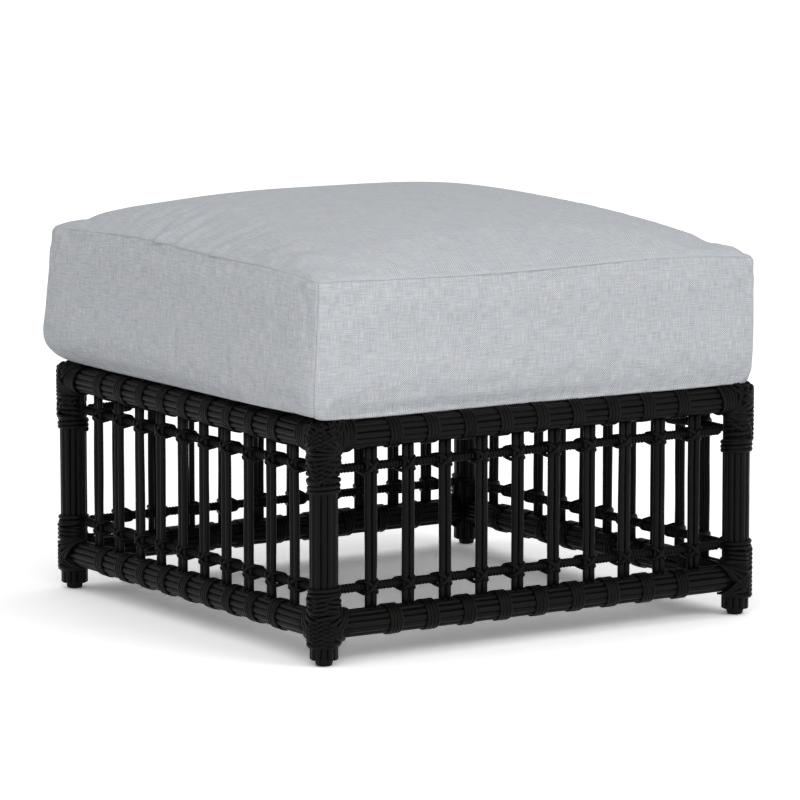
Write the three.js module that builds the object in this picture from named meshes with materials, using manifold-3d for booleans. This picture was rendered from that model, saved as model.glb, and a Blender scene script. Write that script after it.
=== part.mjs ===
// An outdoor ottoman footstool: a square frame of metal tubes bundled in synthetic wicker strands,
// with a lattice panel on each side, a slatted deck and a loose box cushion.
// Millimetres, +Z up. The origin is on the floor under the middle; the front is -Y, the left is -X.

import * as THREE from 'three';
import { mergeVertices } from 'three/addons/utils/BufferGeometryUtils.js';
import Module from 'manifold-3d';

const wasm = await Module();
wasm.setup();

// Clearances
const fit = 0.3; // gap between pieces that touch
const overrun = 1; // how far a cutter runs past the piece it cuts

// Frame layout
const postSpacing = 568; // between the axes of neighbouring posts
const frameHeight = 275.5; // floor to the top of the corner wraps
const bottomRailHeight = 44.3; // floor to the axis of a bottom rail

// Metal tubes inside the posts and rails
const tubeRadius = 11;
const tubeWall = 1.5;
const tubeSides = 12;

// Bundles of strands round the tubes
const strandDepth = 5;
const strandCount = 12;
const grooveDepth = 1.2; // between neighbouring strands
const strandCrestShare = 0.62; // of a strand's width that stands at full radius

// Wraps of thin strand round each corner joint
const wrapDepth = 3.2;
const wrapRailReach = 36; // from the post axis along a rail
const upperWrapDrop = 65; // below the axis of the top rail
const lowerWrapRise = 47; // above the axis of the bottom rail
const lowerWrapDrop = 24; // below the axis of the bottom rail
const wrapBevel = 5;
const wrapSides = 12;

// Nylon glides pressed into the feet
const glideHeight = 7.5; // floor to the end of the post
const glideFootRadius = 8.8;
const glideShoulderRadius = 10.4;
const glideShoulderHeight = 2;
const glideStemLength = 16;
const glideSides = 16;

// Lattice panels between the rails
const spindlePairs = 10;
const spindleRadius = 3.75;
const spindleSides = 6;
const pairGap = 0.7; // between the two spindles of a pair
const cornerBay = 61.7; // post axis to the middle of the first pair
const rodRadius = 5.25;
const rodSides = 8;
const rodOffset = 38; // between the axes of a cross rod and its rail
const rodBite = 0.4; // how deep the spindles are bound into a cross rod

// Deck of flat slats on two crossbars, level with the top rails
const slatCount = 8;
const slatWidth = 38;
const slatThickness = 3;
const crossbarRadius = 8;
const crossbarWall = 1.5;
const crossbarSpacing = 190;

// Box cushion
const cushionOverhang = 19; // from the post axes to the cushion's corners
const boxingHeight = 156; // bottom of the cushion to its top seam
const crownHeight = 54; // top seam to the middle of the top
const crownPower = 3.7;
const crownRoundness = 0.9;
const drawIn = 5; // how far the middle of each side is drawn in
const hemRadius = 12; // of the lower edge
const fabricThickness = 1.2;
const sideSteps = 12;
const hemSteps = 2;

// Zip in the back of the cushion
const zipLength = 420;
const zipWidth = 14;
const sliderLength = 12;
const sliderWidth = 8;
const sliderThickness = 2.4;
const pullLength = 20;
const pullWidth = 5;
const pullThickness = 1.2;

// Worked-out places
const halfSpacing = postSpacing / 2;
const boreRadius = tubeRadius + fit;
const bundleRadius = boreRadius + strandDepth;
const wrapRadius = bundleRadius + wrapDepth;
const topRailHeight = frameHeight - wrapRadius;
const postTop = frameHeight - wrapDepth - fit;
const cushionBottom = frameHeight + fit;
const cushionHalf = halfSpacing + cushionOverhang;
const seamHeight = cushionBottom + boxingHeight;

// Materials

function wickerMaterial() {
  return new THREE.MeshStandardMaterial({ color: 0x2c2c2d, roughness: 0.6, metalness: 0 });
}

function tubeMaterial() {
  return new THREE.MeshStandardMaterial({ color: 0x3a3b3d, roughness: 0.45, metalness: 0.7 });
}

function glideMaterial() {
  return new THREE.MeshStandardMaterial({ color: 0x161617, roughness: 0.5, metalness: 0 });
}

function fabricMaterial() {
  return new THREE.MeshStandardMaterial({ color: 0xc3c7cc, roughness: 0.95, metalness: 0 });
}

function foamMaterial() {
  return new THREE.MeshStandardMaterial({ color: 0xe8e2cf, roughness: 1, metalness: 0 });
}

function zipMaterial() {
  return new THREE.MeshStandardMaterial({ color: 0x9a9da1, roughness: 0.7, metalness: 0 });
}

// Solids and meshes

function toSolid(geometry) {
  const bare = geometry.clone();
  bare.deleteAttribute('normal');
  bare.deleteAttribute('uv');
  const merged = mergeVertices(bare);
  return new wasm.Manifold(new wasm.Mesh({
    numProp: 3,
    vertProperties: new Float32Array(merged.attributes.position.array),
    triVerts: new Uint32Array(merged.index.array),
  }));
}

function toGeometry(solid) {
  const mesh = solid.getMesh();
  return indexedGeometry(mesh.vertProperties, mesh.triVerts);
}

function indexedGeometry(positions, indices) {
  const geometry = new THREE.BufferGeometry();
  geometry.setAttribute('position', new THREE.BufferAttribute(Float32Array.from(positions), 3));
  geometry.setIndex(Array.from(indices));
  geometry.computeVertexNormals();
  return geometry;
}

function joined(geometries) {
  return geometries.map(toSolid).reduce((whole, solid) => whole.add(solid));
}

function addPiece(parent, name, geometry, material) {
  const mesh = new THREE.Mesh(geometry, material);
  mesh.name = name;
  parent.add(mesh);
  return mesh;
}

// Outlines and prisms, built along +Z from the floor

function polygonPoints(radius, sides, firstAngle = 0) {
  return Array.from({ length: sides }, (_, side) => {
    const angle = firstAngle + side * 2 * Math.PI / sides;
    return new THREE.Vector2(radius * Math.cos(angle), radius * Math.sin(angle));
  });
}

function bundlePoints() {
  const halfStrand = Math.PI / strandCount;
  const points = [];
  for (let strand = 0; strand < strandCount; strand += 1) {
    const middle = 2 * strand * halfStrand;
    for (const share of [-1, -strandCrestShare, strandCrestShare]) {
      const angle = middle + share * halfStrand;
      const radius = share === -1 ? bundleRadius - grooveDepth : bundleRadius;
      points.push(new THREE.Vector2(radius * Math.cos(angle), radius * Math.sin(angle)));
    }
  }
  return points;
}

function prism(points, length, holes = []) {
  const shape = new THREE.Shape(points);
  shape.holes = holes;
  return new THREE.ExtrudeGeometry(shape, { depth: length, steps: 1, bevelEnabled: false });
}

function pipe(points, length, bore) {
  return prism(points, length, [new THREE.Path(polygonPoints(bore, tubeSides))]);
}

function pointedAlongX(geometry) {
  return geometry.rotateY(Math.PI / 2);
}

function pointedAlongY(geometry) {
  return geometry.rotateX(-Math.PI / 2);
}

// Posts

function postTubeGeometry() {
  const length = postTop - glideHeight;
  return pipe(polygonPoints(tubeRadius, tubeSides), length, tubeRadius - tubeWall);
}

function postStrandsGeometry() {
  let bundle = toSolid(pipe(bundlePoints(), postTop - glideHeight, boreRadius));
  for (const railHeight of [bottomRailHeight, topRailHeight]) {
    for (const point of [pointedAlongX, pointedAlongY]) {
      const hole = point(prism(polygonPoints(boreRadius, tubeSides), bundleRadius + overrun));
      hole.translate(0, 0, railHeight - glideHeight);
      bundle = bundle.subtract(toSolid(hole));
    }
  }
  return toGeometry(bundle);
}

function glideGeometry() {
  const stemRadius = (tubeRadius - tubeWall) * Math.cos(Math.PI / tubeSides) - fit;
  const shoulder = glideHeight - fit;
  const profile = [
    [0, 0],
    [glideFootRadius, 0],
    [glideShoulderRadius, glideShoulderHeight],
    [glideShoulderRadius, shoulder],
    [stemRadius, shoulder],
    [stemRadius, shoulder + glideStemLength],
    [0, shoulder + glideStemLength],
  ];
  const points = profile.map(([radius, height]) => new THREE.Vector2(radius, height));
  return new THREE.LatheGeometry(points, glideSides).rotateX(Math.PI / 2);
}

// A wrap is hollow: the post and the rails run through it. Its own origin is on the post axis, level
// with the rails, which leave along +X and +Y.
function wrapGeometry(drop, rise, isTop) {
  const shell = polygonPoints(wrapRadius, wrapSides);
  const room = polygonPoints((bundleRadius + fit) / Math.cos(Math.PI / wrapSides), wrapSides);
  const bevel = isTop ? wrapBevel : 0;
  const straight = prism(shell, drop + rise - bevel).translate(0, 0, -drop);
  const sleeves = [straight];
  if (isTop) {
    const dome = new THREE.CylinderGeometry(wrapRadius - bevel, wrapRadius, bevel, wrapSides);
    dome.rotateX(Math.PI / 2).rotateZ(Math.PI / 2).translate(0, 0, rise - bevel / 2);
    sleeves.push(dome);
  }
  const postRoom = isTop ? drop + postTop - topRailHeight + fit : drop + rise + overrun;
  const rooms = [prism(room, overrun + postRoom).translate(0, 0, -drop - overrun)];
  for (const point of [pointedAlongX, pointedAlongY]) {
    sleeves.push(point(prism(shell, wrapRailReach)));
    rooms.push(point(prism(room, wrapRailReach + overrun)));
  }
  return toGeometry(joined(sleeves).subtract(joined(rooms)));
}

// Rails

function railTubeGeometry() {
  const length = postSpacing - 2 * (tubeRadius + fit);
  const tube = pipe(polygonPoints(tubeRadius, tubeSides), length, tubeRadius - tubeWall);
  return tube.translate(0, 0, -length / 2);
}

function railStrandsGeometry() {
  const length = postSpacing - 2 * (bundleRadius + fit);
  return pipe(bundlePoints(), length, boreRadius).translate(0, 0, -length / 2);
}

// The lattice stands behind the front's middle plane at y = 0, with +Y towards the inside.
function latticeGeometry() {
  const foot = bottomRailHeight + bundleRadius + fit;
  const head = topRailHeight - bundleRadius - fit;
  const pairPitch = (postSpacing - 2 * cornerBay) / (spindlePairs - 1);
  const spindleOffset = spindleRadius + pairGap / 2;
  const bars = [];
  for (let pair = 0; pair < spindlePairs; pair += 1) {
    const middle = cornerBay - halfSpacing + pair * pairPitch;
    for (const x of [middle - spindleOffset, middle + spindleOffset]) {
      const spindle = prism(polygonPoints(spindleRadius, spindleSides), head - foot);
      bars.push(spindle.translate(x, 0, foot));
    }
  }
  const spindleBack = spindleRadius * Math.cos(Math.PI / spindleSides);
  const rodFront = rodRadius * Math.cos(Math.PI / rodSides);
  const rodLength = postSpacing - 2 * (wrapRadius + fit);
  for (const height of [bottomRailHeight + rodOffset, topRailHeight - rodOffset]) {
    const rod = pointedAlongX(prism(polygonPoints(rodRadius, rodSides, Math.PI / rodSides), rodLength));
    bars.push(rod.translate(-rodLength / 2, spindleBack + rodFront - rodBite, height));
  }
  return toGeometry(joined(bars));
}

// Deck

function slatGeometry() {
  return new THREE.BoxGeometry(slatWidth, postSpacing - 2 * (bundleRadius + fit), slatThickness);
}

function crossbarGeometry() {
  const length = postSpacing - 2 * (bundleRadius + fit);
  const bar = pipe(polygonPoints(crossbarRadius, tubeSides), length, crossbarRadius - crossbarWall);
  return bar.translate(0, 0, -length / 2);
}

// The cushion's plan is a square with its sides drawn in. u and v run from -1 to 1 across it.

function planPoint(u, v, inset) {
  const half = cushionHalf - inset;
  const alongX = half - drawIn * (1 - v * v);
  const alongY = half - drawIn * (1 - u * u);
  return [u * alongX, v * alongY];
}

// Steps are closer together near the edges, where the crown falls away.
function gridShare(step) {
  return Math.sin(Math.PI / 2 * (2 * step / sideSteps - 1));
}

// The shares u and v at each step round the edge of the plan, counter-clockwise from the front left.
function edgeShares() {
  const shares = [];
  for (let step = 0; step < sideSteps; step += 1) shares.push([gridShare(step), -1]);
  for (let step = 0; step < sideSteps; step += 1) shares.push([1, gridShare(step)]);
  for (let step = sideSteps; step > 0; step -= 1) shares.push([gridShare(step), 1]);
  for (let step = sideSteps; step > 0; step -= 1) shares.push([-1, gridShare(step)]);
  return shares;
}

function edgeRing(inset, height) {
  return edgeShares().map(([u, v]) => [...planPoint(u, v, inset), height]);
}

function crownRise(u, v) {
  const fall = (share) => Math.max(0, 1 - Math.abs(share) ** crownPower) ** crownRoundness;
  return crownHeight * fall(u) * fall(v);
}

// Triangles between two rings with the same count of points. They face outwards where both rings
// run counter-clockwise and the upper one lies above the lower one.
function bandTriangles(lower, upper, count) {
  const triangles = [];
  for (let step = 0; step < count; step += 1) {
    const next = (step + 1) % count;
    triangles.push(lower + step, lower + next, upper + next);
    triangles.push(lower + step, upper + next, upper + step);
  }
  return triangles;
}

// A crowned surface over the plan, at the height of the seam less a drop.
function crownGrid(inset, drop) {
  const points = [];
  for (let row = 0; row <= sideSteps; row += 1) {
    for (let column = 0; column <= sideSteps; column += 1) {
      const [u, v] = [gridShare(column), gridShare(row)];
      points.push([...planPoint(u, v, inset), seamHeight - drop + crownRise(u, v)]);
    }
  }
  return points;
}

function gridTriangles(first, isUp) {
  const triangles = [];
  const width = sideSteps + 1;
  for (let row = 0; row < sideSteps; row += 1) {
    for (let column = 0; column < sideSteps; column += 1) {
      const near = first + row * width + column;
      const far = near + width;
      const up = [near, near + 1, far + 1, near, far + 1, far];
      triangles.push(...(isUp ? up : up.toReversed()));
    }
  }
  return triangles;
}

// The numbers, within a grid, of the points round its edge, in the order of edgeShares.
function gridEdge(first) {
  const width = sideSteps + 1;
  const last = sideSteps * width;
  const edge = [];
  for (let step = 0; step < sideSteps; step += 1) edge.push(first + step);
  for (let step = 0; step < sideSteps; step += 1) edge.push(first + step * width + sideSteps);
  for (let step = sideSteps; step > 0; step -= 1) edge.push(first + last + step);
  for (let step = sideSteps; step > 0; step -= 1) edge.push(first + step * width);
  return edge;
}

function edgeBand(lowerEdge, upperEdge) {
  const count = lowerEdge.length;
  return bandTriangles(0, count, count).map((index) => (
    index < count ? lowerEdge[index] : upperEdge[index - count]
  ));
}

function topPanelGeometry() {
  const upper = crownGrid(0, 0);
  const lower = crownGrid(0, fabricThickness);
  const triangles = [
    ...gridTriangles(0, true),
    ...gridTriangles(upper.length, false),
    ...edgeBand(gridEdge(upper.length), gridEdge(0)),
  ];
  return indexedGeometry([...upper, ...lower].flat(), triangles);
}

// The profile of the cushion's side from its bottom edge up, as insets and heights. The layer is
// how far under the outer surface it lies.
function sideProfile(layer, top) {
  const radius = hemRadius - layer;
  const profile = [];
  for (let step = 0; step <= hemSteps; step += 1) {
    const angle = Math.PI / 2 * step / hemSteps;
    profile.push([
      hemRadius - radius * Math.sin(angle),
      cushionBottom + hemRadius - radius * Math.cos(angle),
    ]);
  }
  profile.push([layer, top]);
  return profile;
}

function boxingSolid() {
  const top = seamHeight - fabricThickness - fit;
  const section = [...sideProfile(0, top), ...sideProfile(fabricThickness, top).toReversed()];
  const rings = section.map(([inset, height]) => edgeRing(inset, height));
  const count = rings[0].length;
  const triangles = rings.flatMap((_, ring) => (
    bandTriangles(ring * count, (ring + 1) % rings.length * count, count)
  ));
  return toSolid(indexedGeometry(rings.flat(2), triangles));
}

// A block through the back wall of the cushion, from inside its middle to outside its corners.
function zipWindow(clearance) {
  const inside = cushionHalf - drawIn - fabricThickness - overrun;
  const outside = cushionHalf + overrun;
  const length = zipLength - 2 * clearance;
  const window = new THREE.BoxGeometry(length, outside - inside, zipWidth - 2 * clearance);
  window.translate(0, (inside + outside) / 2, cushionBottom + boxingHeight / 2);
  return toSolid(window);
}

function boxingGeometry() {
  return toGeometry(boxingSolid().subtract(zipWindow(0)));
}

function zipTapeGeometry() {
  return toGeometry(boxingSolid().intersect(zipWindow(fit)));
}

function bottomPanelGeometry() {
  const outline = edgeRing(hemRadius + fit, 0).map(([x, y]) => new THREE.Vector2(x, y));
  return prism(outline, fabricThickness).translate(0, 0, cushionBottom);
}

function foamGeometry() {
  const layer = fabricThickness + fit;
  const crown = crownGrid(layer, layer + fit);
  const rings = sideProfile(layer, 0).slice(0, -1).map(([inset, height]) => edgeRing(inset, height));
  const count = rings[0].length;
  const firstRing = crown.length;
  const middle = firstRing + rings.length * count;
  const triangles = gridTriangles(0, true);
  for (let ring = 0; ring < rings.length - 1; ring += 1) {
    triangles.push(...bandTriangles(firstRing + ring * count, firstRing + (ring + 1) * count, count));
  }
  const lastRing = Array.from({ length: count }, (_, step) => (
    firstRing + (rings.length - 1) * count + step
  ));
  triangles.push(...edgeBand(lastRing, gridEdge(0)));
  for (let step = 0; step < count; step += 1) {
    triangles.push(middle, firstRing + (step + 1) % count, firstRing + step);
  }
  const points = [...crown, ...rings.flat(), [0, 0, cushionBottom + layer]];
  return indexedGeometry(points.flat(), triangles);
}

// The slider and its pull lie flat behind the zip tape, with the pull hanging down.
function sliderGeometry() {
  const body = new THREE.BoxGeometry(sliderLength, sliderThickness, sliderWidth);
  body.translate(0, sliderThickness / 2, 0);
  const pull = new THREE.BoxGeometry(pullWidth, pullThickness, pullLength);
  pull.translate(0, sliderThickness - pullThickness / 2, -pullLength / 2);
  return toGeometry(joined([body, pull]));
}

// One side and one corner are built at the front and the front left, and turned for the others.

function addSide(parent, side, shapes) {
  for (const [level, height] of [['top', topRailHeight], ['bottom', bottomRailHeight]]) {
    const tube = addPiece(parent, `${level}_rail_tube_${side}`, shapes.railTube, tubeMaterial());
    const strands = addPiece(parent, `${level}_rail_strands_${side}`, shapes.railStrands, wickerMaterial());
    for (const rail of [tube, strands]) {
      rail.position.set(0, -halfSpacing, height);
      rail.rotation.y = Math.PI / 2;
    }
  }
  const lattice = addPiece(parent, `lattice_${side}`, shapes.lattice, wickerMaterial());
  lattice.position.y = -halfSpacing;
}

function addCorner(parent, corner, shapes) {
  const post = new THREE.Group();
  post.position.set(-halfSpacing, -halfSpacing, 0);
  parent.add(post);
  const tube = addPiece(post, `post_tube_${corner}`, shapes.postTube, tubeMaterial());
  const strands = addPiece(post, `post_strands_${corner}`, shapes.postStrands, wickerMaterial());
  tube.position.z = glideHeight;
  strands.position.z = glideHeight;
  addPiece(post, `glide_${corner}`, shapes.glide, glideMaterial());
  const upper = addPiece(post, `upper_wrap_${corner}`, shapes.upperWrap, wickerMaterial());
  upper.position.z = topRailHeight;
  const lower = addPiece(post, `lower_wrap_${corner}`, shapes.lowerWrap, wickerMaterial());
  lower.position.z = bottomRailHeight;
}

function addFrame(parent) {
  const shapes = {
    postTube: postTubeGeometry(),
    postStrands: postStrandsGeometry(),
    glide: glideGeometry(),
    upperWrap: wrapGeometry(upperWrapDrop, wrapRadius, true),
    lowerWrap: wrapGeometry(lowerWrapDrop, lowerWrapRise, false),
    railTube: railTubeGeometry(),
    railStrands: railStrandsGeometry(),
    lattice: latticeGeometry(),
  };
  const sides = ['front', 'right', 'back', 'left'];
  const corners = ['front_left', 'front_right', 'back_right', 'back_left'];
  for (let quarter = 0; quarter < sides.length; quarter += 1) {
    const turned = new THREE.Group();
    turned.rotation.z = quarter * Math.PI / 2;
    addSide(turned, sides[quarter], shapes);
    addCorner(turned, corners[quarter], shapes);
    parent.add(turned);
  }
}

function addDeck(parent) {
  const deck = new THREE.Group();
  deck.position.z = topRailHeight;
  parent.add(deck);
  const clearSpan = postSpacing - 2 * bundleRadius;
  const slatGap = (clearSpan - slatCount * slatWidth) / (slatCount + 1);
  const slatShape = slatGeometry();
  for (let slat = 0; slat < slatCount; slat += 1) {
    const plank = addPiece(deck, `deck_slat_${slat + 1}`, slatShape, tubeMaterial());
    plank.position.x = -clearSpan / 2 + slatGap + slatWidth / 2 + slat * (slatWidth + slatGap);
  }
  const barShape = crossbarGeometry();
  for (const [place, direction] of [['front', -1], ['back', 1]]) {
    const bar = addPiece(deck, `deck_crossbar_${place}`, barShape, tubeMaterial());
    bar.position.y = direction * crossbarSpacing / 2;
    bar.position.z = -slatThickness / 2 - fit - crossbarRadius;
    bar.rotation.y = Math.PI / 2;
  }
}

function addCushion(parent) {
  addPiece(parent, 'cushion_foam', foamGeometry(), foamMaterial());
  addPiece(parent, 'cushion_bottom_panel', bottomPanelGeometry(), fabricMaterial());
  addPiece(parent, 'cushion_boxing', boxingGeometry(), fabricMaterial());
  addPiece(parent, 'cushion_top_panel', topPanelGeometry(), fabricMaterial());
  addPiece(parent, 'zip_tape', zipTapeGeometry(), zipMaterial());
  const slider = addPiece(parent, 'zip_slider', sliderGeometry(), zipMaterial());
  const stop = zipLength / 2 - fit;
  slider.position.x = sliderLength / 2 - stop;
  slider.position.y = planPoint(stop / cushionHalf, 1, 0)[1] + fit;
  slider.position.z = cushionBottom + boxingHeight / 2;
}

const ottoman = new THREE.Group();
addFrame(ottoman);
addDeck(ottoman);
addCushion(ottoman);

export default ottoman;
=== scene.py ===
"""An outdoor ottoman: a dark wicker frame with lattice sides and a loose, crowned box cushion.
The front is -Y and the left is -X. Lengths are in metres, in the frame of the CAD model."""

import math

import bmesh
import bpy
import numpy as np
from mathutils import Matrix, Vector


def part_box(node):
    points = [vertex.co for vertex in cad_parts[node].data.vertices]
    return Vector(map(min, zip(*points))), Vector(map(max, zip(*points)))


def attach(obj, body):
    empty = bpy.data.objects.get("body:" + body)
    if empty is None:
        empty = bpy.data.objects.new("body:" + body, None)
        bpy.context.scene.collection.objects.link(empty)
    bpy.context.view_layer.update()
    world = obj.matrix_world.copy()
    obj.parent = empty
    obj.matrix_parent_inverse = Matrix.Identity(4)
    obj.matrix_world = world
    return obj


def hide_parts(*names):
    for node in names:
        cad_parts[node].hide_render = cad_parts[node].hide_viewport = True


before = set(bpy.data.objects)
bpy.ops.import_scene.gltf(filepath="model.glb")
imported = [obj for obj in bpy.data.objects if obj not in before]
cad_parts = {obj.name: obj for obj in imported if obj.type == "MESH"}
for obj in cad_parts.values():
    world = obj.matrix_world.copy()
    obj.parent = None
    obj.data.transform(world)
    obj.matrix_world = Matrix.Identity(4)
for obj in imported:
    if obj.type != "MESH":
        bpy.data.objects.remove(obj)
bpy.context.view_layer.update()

MM = 0.001
TURN = 2 * math.pi
SIDES = ("front", "right", "back", "left")
CORNERS = ("front_left", "front_right", "back_right", "back_left")
FORWARD = (0.0, -1.0, 0.0)

# Camera, as fitted to the photograph
CAMERA_PLACE = (-3.0935, -4.7869, 1.0706)
CAMERA_TARGET = (0, 0, 0.2407)
CAMERA_LENS = 219.04  # millimetres, on a 36 mm sensor

# Strands of the bundles round the posts and rails
BUNDLE_COUNT = 12
BUNDLE_CREST = 3.2 * MM
BUNDLE_OVAL = (7.6 * MM, BUNDLE_CREST, 1.8 * MM)  # width, crest and belly, as in each oval below
BUNDLE_STEP = 14 * MM
BUNDLE_WANDER = 0.25 * MM

# Bands of thin strand round the rails, one between each two pairs of spindles
BAND_TURNS = 4
BAND_STEPS = 20  # in each turn
BAND_WIDTH = 4.6 * MM
BAND_OVERLAP = 0.25 * MM
BAND_OVAL = (BAND_WIDTH, 1.3 * MM, 0.9 * MM)
BAND_RISE = 0.6 * MM  # middle of the strand above the bundle
BAND_SINK_SHARE = 0.017  # of the bundle's radius, between two of its strands
BAND_TUCK = 2.2 * MM  # of both ends
TUCK_ANGLE = 0.35

# Lattice
PAIR_COUNT = 10
FIRST_PAIR = 61.7 * MM  # from the post axis
SPINDLE_RADIUS = 3.75 * MM
PAIR_GAP = 0.7 * MM
SPINDLE_SINK = 2.5 * MM  # into the rails
ROD_OFFSET = 38 * MM  # from the nearer rail's axis
ROD_CORE = 4.0 * MM
ROD_PITCH = 4.35 * MM
ROD_CREST = 1.45 * MM
ROD_OVAL = (1.04 * ROD_PITCH, ROD_CREST, 0.4 * MM)
ROD_STEPS = 14  # in each turn of the winding
ROD_SWELL = 1.2 * MM  # of the radius behind each pair of spindles
SWELL_REACH = 9 * MM
LASH_CREST = 1.5 * MM
LASH_OVAL = (4.8 * MM, LASH_CREST, 2.8 * MM)
LASH_RISE = 0.9 * MM  # of its middle off the spindles
LASH_ROOM = 0.6 * MM  # between it and the rod's winding
LASH_TURNED_SHARE = 0.15  # of the pairs whose lashing slopes the other way

# Wraps round the corner joints
WRAP_WIDTH = 4.9 * MM
WRAP_CREST = 1.8 * MM
WRAP_OVAL = (WRAP_WIDTH, WRAP_CREST, 1.1 * MM)
WRAP_RISE = 1.2 * MM
WRAP_PITCH = 5.1 * MM
WRAP_WEAVE = 1.35 * MM
WRAP_FILLET = 5 * MM
CAP_EDGE = 5 * MM  # rounding of the top
EDGE_INSET = 2 * MM  # of the rails' crests, over which the strands turn
CROSSING_REACH = 14 * MM  # how far inwards the two families still cross
CROSSING_GAP = 1.6 * MM
LOWER_SPREAD = 11 * MM  # of the lower joints' strands along the rails
INNERMOST_LEVEL = 2.9  # in bundle radii, of the last strand over the top, counted on inwards
START_LIFT = 0.3  # strands start this low, level and this high in turn, where 1 is a crossing
POST_ROUNDS = {"upper": 2.5, "lower": 2}  # turns round the post alone
POST_ROUND_STEPS = 22  # in each turn
POST_ROUND_START = 0.8  # as an angle
ROUNDS_GAP = 0.4 * WRAP_PITCH  # from them to the nearest crossing strand
RAIL_ROUNDS = 5
ROUNDS_DRAW = 6 * MM  # of the first one towards the crotch
ROUNDS_CLOSE_SHARE = 0.72  # of their pitch, on the side of the crotch

random = np.random.default_rng(11)


# Measures taken from the frame

def middle(node):
    low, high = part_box(node)
    return (low + high) / 2


def sizes(node):
    low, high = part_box(node)
    return high - low


POST = -middle("glide_front_left").x
POST_FOOT, POST_TOP = (end.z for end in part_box("post_strands_front_left"))
BUNDLE_RADIUS = sizes("top_rail_strands_front").z / 2
RAIL_LENGTH = sizes("top_rail_strands_front").x
RAIL_HEIGHTS = {level: middle(f"{level}_rail_strands_front").z for level in ("top", "bottom")}
ROD_LENGTH = sizes("lattice_front").x
ROD_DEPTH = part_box("lattice_front")[1].y + POST - ROD_CORE - ROD_CREST
ROD_HEIGHTS = (RAIL_HEIGHTS["bottom"] + ROD_OFFSET, RAIL_HEIGHTS["top"] - ROD_OFFSET)
WRAP_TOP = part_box("upper_wrap_front_left")[1].z
PAIR_PITCH = 2 * (POST - FIRST_PAIR) / (PAIR_COUNT - 1)
PAIR_PLACES = FIRST_PAIR - POST + np.arange(PAIR_COUNT) * PAIR_PITCH
CUSHION_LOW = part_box("cushion_bottom_panel")[0].z
CUSHION_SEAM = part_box("cushion_boxing")[1].z
CUSHION_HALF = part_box("cushion_top_panel")[1].x
ZIP_HALF = sizes("zip_tape").x / 2
ZIP_HEIGHT = middle("zip_tape").z
ZIP_WIDTH = sizes("zip_tape").z


# Small maths

def unit(vectors):
    return vectors / np.linalg.norm(vectors, axis=-1, keepdims=True)


def bell(distance, width):
    """1 at no distance, falling smoothly to 0 within about two widths."""
    return np.exp(-((distance / width) ** 2))


def points_of(x, y, z):
    """Points from their coordinates, each an array or one number for all."""
    return np.stack(np.broadcast_arrays(x, y, z), -1)


def turned(points, quarter):
    """Points turned about the vertical axis by quarter turns, counter-clockwise from above."""
    for _ in range(quarter):
        points = points_of(-points[..., 1], points[..., 0], points[..., 2])
    return points


def wander(places, length, height):
    """A smooth random line over the places, with waves of about that length and height."""
    line = np.zeros(len(places))
    for harmonic in (1.0, 0.53, 0.29):
        phase = random.uniform(0, TURN)
        line += harmonic * np.sin(TURN * places / (length * harmonic) + phase)
    return line * height / 1.2


def oval(width, crest, belly, sides):
    """A strand's outline as (across, out), from its inner side round. Its outer half is crest high
    and its inner half belly deep."""
    angle = TURN * np.arange(sides) / sides - math.pi / 2
    out = np.sin(angle)
    return np.stack([width / 2 * np.cos(angle), np.where(out > 0, crest, belly) * out], -1)


def stretched(grid, places, axis):
    """A grid of vectors read along one axis at places in its own steps, on smooth curves."""
    grid = np.moveaxis(grid, axis, 0)
    last = len(grid) - 1
    start = np.clip(places.astype(int), 0, last - 1)
    t = (places - start).reshape(-1, *[1] * (grid.ndim - 1))
    weights = (
        (-t + 2 * t**2 - t**3) / 2,
        (2 - 5 * t**2 + 3 * t**3) / 2,
        (t + 4 * t**2 - 3 * t**3) / 2,
        (-(t**2) + t**3) / 2,
    )
    steps = [np.clip(start + step, 0, last) for step in (-1, 0, 1, 2)]
    return np.moveaxis(sum(grid[step] * weight for step, weight in zip(steps, weights)), 0, axis)


def spline(knots, count):
    """Points along a smooth line through the knots."""
    knots = np.asarray(knots, float)
    padded = np.vstack([2 * knots[0] - knots[1], knots, 2 * knots[-1] - knots[-2]])
    return stretched(padded, 1 + np.linspace(0, len(knots) - 1, count), 0)


# Meshes

def added(name, data):
    item = bpy.data.objects.new(name, data)
    bpy.context.scene.collection.objects.link(item)
    return item


def mesh_object(name, points, faces, body="frame"):
    """faces is a list of arrays, each of faces with one count of corners."""
    mesh = bpy.data.meshes.new(name)
    corners = [face for part in faces for face in part.tolist()]
    mesh.from_pydata(points.tolist(), [], corners, shade_flat=False)
    piece = added(name, mesh)
    if body:
        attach(piece, body)
    return piece


def dressed(piece, material, slot, *nodes):
    """The piece with its material, in place of the nodes, which are hidden. The slot is not used."""
    piece.data.materials.append(material)
    if nodes:
        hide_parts(*nodes)
    return piece


def attribute(piece, name, kind, domain, values):
    layer = piece.data.attributes.new(name, kind, domain)
    layer.data.foreach_set("value" if kind == "FLOAT" else "vector", values.astype(np.float32).ravel())


def quads_between(lower, upper):
    """Quads from rings of point numbers to the rings after them."""
    corners = [lower, np.roll(lower, -1, 1), np.roll(upper, -1, 1), upper]
    return np.stack(corners, -1).reshape(-1, 4)


def fan(ring, tip):
    """Triangles from a ring of point numbers to one point."""
    return np.stack([ring, np.roll(ring, -1), np.full(len(ring), tip)], -1)


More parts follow.
